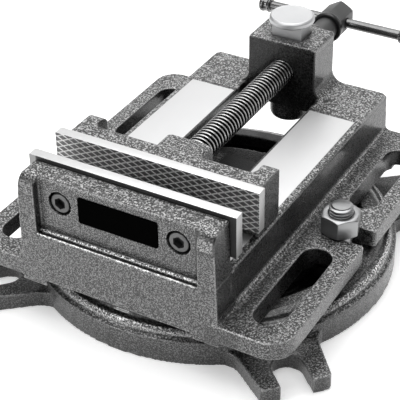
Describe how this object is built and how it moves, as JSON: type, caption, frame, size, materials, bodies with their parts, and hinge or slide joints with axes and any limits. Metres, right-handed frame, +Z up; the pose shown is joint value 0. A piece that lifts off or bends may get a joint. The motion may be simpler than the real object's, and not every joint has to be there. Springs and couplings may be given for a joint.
{
  "type": "machine vise",
  "caption": "Drill-press machine vise on a round swivel base, with serrated jaw plates, a lead screw with a sliding bar handle and a push-button half nut for quick release.",
  "frame": {"origin": "on the swivel axis, in the plane of the base's underside", "axes": "+X to the right across the jaws, +Y along the lead screw from the fixed jaw to the handle, +Z up"},
  "size_m": [0.232, 0.292, 0.1105],
  "materials": {
    "hammertone_paint": "grey hammertone enamel on a cast surface",
    "ground_steel": "ground and hardened",
    "zinc_steel": "bright zinc plate, satin",
    "black_oxide": "oiled black oxide",
    "dark_steel": "plain milled steel",
    "black_plate": "plain black, satin, no lettering"
  },
  "bodies": {
    "base": {"swivel_base": "hammertone_paint"},
    "vise_body": {"body_casting": "hammertone_paint", "fixed_jaw_plate": "ground_steel", "name_plate": "black_plate", "release_spring": "zinc_steel", "fixed_jaw_screw_left": "black_oxide", "fixed_jaw_screw_right": "black_oxide", "clamp_bolt_left": "zinc_steel", "clamp_bolt_right": "zinc_steel"},
    "moving_jaw": {"moving_jaw": "hammertone_paint", "moving_jaw_plate": "ground_steel", "keeper_plate": "dark_steel", "moving_jaw_screw_left": "black_oxide", "moving_jaw_screw_right": "black_oxide", "keeper_bolt_left": "zinc_steel", "keeper_bolt_right": "zinc_steel", "retaining_pin_left": "dark_steel", "retaining_pin_right": "dark_steel"},
    "screw": {"lead_screw": "black_oxide", "thrust_washer": "dark_steel", "stop_collar": "black_oxide"},
    "handle": {"tommy_bar": "black_oxide", "bar_knob_left": "black_oxide", "bar_knob_right": "black_oxide"},
    "release": {"release_button": "zinc_steel", "half_nut": "zinc_steel"},
    "nut_left": {"clamp_nut_left": "zinc_steel"},
    "nut_right": {"clamp_nut_right": "zinc_steel"}
  },
  "joints": [
    {"name": "swivel", "type": "hinge", "parent": "base", "child": "vise_body", "pos_m": [0, 0, 0], "axis": [0, 0, 1], "continuous": true},
    {"name": "jaw_slide", "type": "slide", "parent": "vise_body", "child": "moving_jaw", "axis": [0, 1, 0], "range_m": [-0.018, 0.1]},
    {"name": "screw_turn", "type": "hinge", "parent": "moving_jaw", "child": "screw", "pos_m": [0, 0, 0.077], "axis": [0, 1, 0], "range_deg": [-2100, 11500]},
    {"name": "bar_slide", "type": "slide", "parent": "screw", "child": "handle", "axis": [1, 0, 0], "range_m": [-0.037, 0.037]},
    {"name": "release_press", "type": "slide", "parent": "vise_body", "child": "release", "axis": [0, 0, -1], "range_m": [0, 0.005], "stiffness_N_per_m": 1500, "springref_m": -0.004, "deforming": ["release_spring"]},
    {"name": "nut_turn_left", "type": "hinge", "parent": "vise_body", "child": "nut_left", "pos_m": [-0.0814, 0.002, 0.045], "axis": [0, 0, 1], "range_deg": [0, 720]},
    {"name": "nut_turn_right", "type": "hinge", "parent": "vise_body", "child": "nut_right", "pos_m": [0.0814, 0.002, 0.045], "axis": [0, 0, 1], "range_deg": [0, 720]}
  ],
  "couplings": [
    {"joint": "screw_turn", "follows": "jaw_slide", "rad_per_m": 1979}
  ]
}
